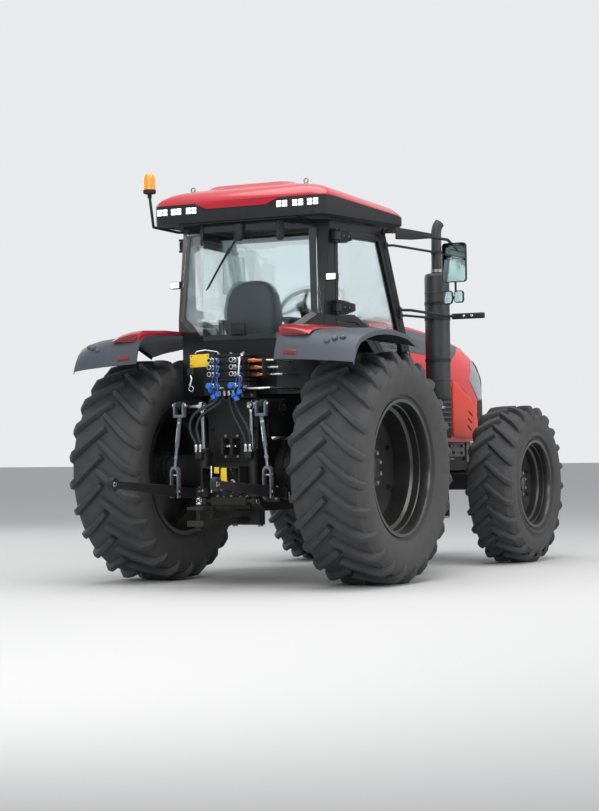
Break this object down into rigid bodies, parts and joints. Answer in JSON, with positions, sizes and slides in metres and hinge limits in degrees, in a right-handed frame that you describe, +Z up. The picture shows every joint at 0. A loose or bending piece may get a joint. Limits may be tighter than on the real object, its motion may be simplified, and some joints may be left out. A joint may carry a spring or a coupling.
{
  "type": "farm tractor",
  "caption": "Wheeled farm tractor with a closed cab, opening doors and hood, steered front wheels, power take-off and a rear three-point hitch.",
  "frame": {"origin": "on the ground under the middle of the whole tractor", "axes": "+X to the front of the tractor, +Y to its left, +Z up"},
  "size_m": [5.2, 2.58, 3.2],
  "materials": {
    "red_paint": "gloss",
    "black_paint": "satin",
    "grey_casting": "matt",
    "black_casting": "matt",
    "rim_paint": "satin",
    "tyre_rubber": "matt",
    "fender_plastic": "satin",
    "black_plastic": "matt",
    "tinted_glass": "clear",
    "lamp_lens": "clear",
    "exhaust_paint": "matt",
    "rod_chrome": "polished",
    "bright_steel": "brushed",
    "seat_cloth": "woven",
    "cab_plastic": "grained"
  },
  "bodies": {
    "chassis": {"transmission": "grey_casting", "engine": "grey_casting", "front_frame": "black_casting", "front_weights": "black_casting", "front_axle": "grey_casting", "cab_frame": "black_paint", "cab_glass": "tinted_glass", "roof": "red_paint", "cowl": "black_plastic", "fenders": "fender_plastic", "exhaust": "exhaust_paint", "mirrors": "black_plastic", "lamps": "lamp_lens", "seat": "seat_cloth", "cab_fittings": "cab_plastic", "tanks_and_steps": "black_plastic", "hitch_brackets": "black_casting", "drawbar": "black_casting", "remote_valves": "bright_steel"},
    "rear_wheel_left": {"rear_tyre_left": "tyre_rubber", "rear_rim_left": "rim_paint"},
    "rear_wheel_right": {"rear_tyre_right": "tyre_rubber", "rear_rim_right": "rim_paint"},
    "front_wheel_left": {"front_tyre_left": "tyre_rubber", "front_rim_left": "rim_paint"},
    "front_wheel_right": {"front_tyre_right": "tyre_rubber", "front_rim_right": "rim_paint"},
    "knuckle_left_body": {"knuckle_left": "grey_casting"},
    "knuckle_right_body": {"knuckle_right": "grey_casting"},
    "steering_rod_body": {"steering_rod": "bright_steel"},
    "door_left_body": {"door_left": "black_paint", "door_glass_left": "tinted_glass"},
    "door_right_body": {"door_right": "black_paint", "door_glass_right": "tinted_glass"},
    "hood_body": {"hood": "red_paint", "grille": "black_plastic"},
    "steering_wheel_body": {"steering_wheel": "black_plastic"},
    "pto_shaft_body": {"pto_shaft": "bright_steel"},
    "lift_arms_body": {"lift_arms": "black_paint"},
    "lower_link_left_body": {"lower_link_left": "black_paint"},
    "lower_link_right_body": {"lower_link_right": "black_paint"},
    "lift_rods_body": {"lift_rods": "black_paint"},
    "cylinder_barrels_body": {"cylinder_barrels": "black_paint"},
    "cylinder_rods_body": {"cylinder_rods": "rod_chrome"}
  },
  "joints": [
    {"name": "rear_left_spin", "type": "hinge", "parent": "chassis", "child": "rear_wheel_left", "pos_m": [-1.12, 0.95, 0.87], "axis": [0, 1, 0], "continuous": true},
    {"name": "rear_right_spin", "type": "hinge", "parent": "chassis", "child": "rear_wheel_right", "pos_m": [-1.12, -0.95, 0.87], "axis": [0, 1, 0], "continuous": true},
    {"name": "steer_left", "type": "hinge", "parent": "chassis", "child": "knuckle_left_body", "pos_m": [1.63, 0.815, 0.68], "axis": [0, 0, 1], "range_deg": [-35, 35]},
    {"name": "steer_right", "type": "hinge", "parent": "chassis", "child": "knuckle_right_body", "pos_m": [1.63, -0.815, 0.68], "axis": [0, 0, 1], "range_deg": [-36, 36]},
    {"name": "steering_slide", "type": "slide", "parent": "chassis", "child": "steering_rod_body", "axis": [0, 1, 0], "range_m": [-0.12, 0.12]},
    {"name": "front_left_spin", "type": "hinge", "parent": "knuckle_left_body", "child": "front_wheel_left", "pos_m": [1.63, 0.98, 0.68], "axis": [0, 1, 0], "continuous": true},
    {"name": "front_right_spin", "type": "hinge", "parent": "knuckle_right_body", "child": "front_wheel_right", "pos_m": [1.63, -0.98, 0.68], "axis": [0, 1, 0], "continuous": true},
    {"name": "door_left_hinge", "type": "hinge", "parent": "chassis", "child": "door_left_body", "pos_m": [-1.15429, 0.68491, 2.3], "axis": [0, 0, 1], "range_deg": [0, 70]},
    {"name": "door_right_hinge", "type": "hinge", "parent": "chassis", "child": "door_right_body", "pos_m": [-1.15429, -0.68491, 2.3], "axis": [0, 0, -1], "range_deg": [0, 70]},
    {"name": "hood_hinge", "type": "hinge", "parent": "chassis", "child": "hood_body", "pos_m": [0.212, 0, 2.092], "axis": [0, -1, 0], "range_deg": [0, 50]},
    {"name": "steering_wheel_turn", "type": "hinge", "parent": "chassis", "child": "steering_wheel_body", "pos_m": [-0.43, 0, 2.15], "axis": [-0.7319, 0, 0.6814], "continuous": true},
    {"name": "pto_spin", "type": "hinge", "parent": "chassis", "child": "pto_shaft_body", "pos_m": [-1.62, 0, 0.775], "axis": [-1, 0, 0], "continuous": true},
    {"name": "lift_arms_hinge", "type": "hinge", "parent": "chassis", "child": "lift_arms_body", "pos_m": [-1.45, 0, 1.335], "axis": [0, 1, 0], "range_deg": [-28, 14]},
    {"name": "lower_link_left_hinge", "type": "hinge", "parent": "chassis", "child": "lower_link_left_body", "pos_m": [-1.45, 0.39, 0.688], "axis": [0, 1, 0], "range_deg": [-29, 15]},
    {"name": "lower_link_right_hinge", "type": "hinge", "parent": "chassis", "child": "lower_link_right_body", "pos_m": [-1.45, -0.39, 0.688], "axis": [0, 1, 0], "range_deg": [-29, 15]},
    {"name": "lift_rods_hinge", "type": "hinge", "parent": "lift_arms_body", "child": "lift_rods_body", "pos_m": [-1.75, 0, 1.362], "axis": [0, 1, 0], "range_deg": [-15, 29]},
    {"name": "cylinder_barrels_hinge", "type": "hinge", "parent": "chassis", "child": "cylinder_barrels_body", "pos_m": [-1.62, 0, 0.64], "axis": [0, 1, 0], "range_deg": [-3, 3]},
    {"name": "cylinder_rods_slide", "type": "slide", "parent": "cylinder_barrels_body", "child": "cylinder_rods_body", "axis": [-0.049, 0, 0.9988], "range_m": [-0.101, 0.051]}
  ],
  "couplings": [
    {"joint": "steer_right", "follows": "steer_left", "ratio": 1},
    {"joint": "steering_slide", "follows": "steer_left", "m_per_rad": -0.188},
    {"joint": "lower_link_left_hinge", "follows": "lift_arms_hinge", "ratio": 1},
    {"joint": "lower_link_right_hinge", "follows": "lift_arms_hinge", "ratio": 1},
    {"joint": "lift_rods_hinge", "follows": "lift_arms_hinge", "ratio": -1},
    {"joint": "cylinder_barrels_hinge", "follows": "lift_arms_hinge", "ratio": 0.0055},
    {"joint": "cylinder_rods_slide", "follows": "lift_arms_hinge", "m_per_rad": 0.2036}
  ]
}
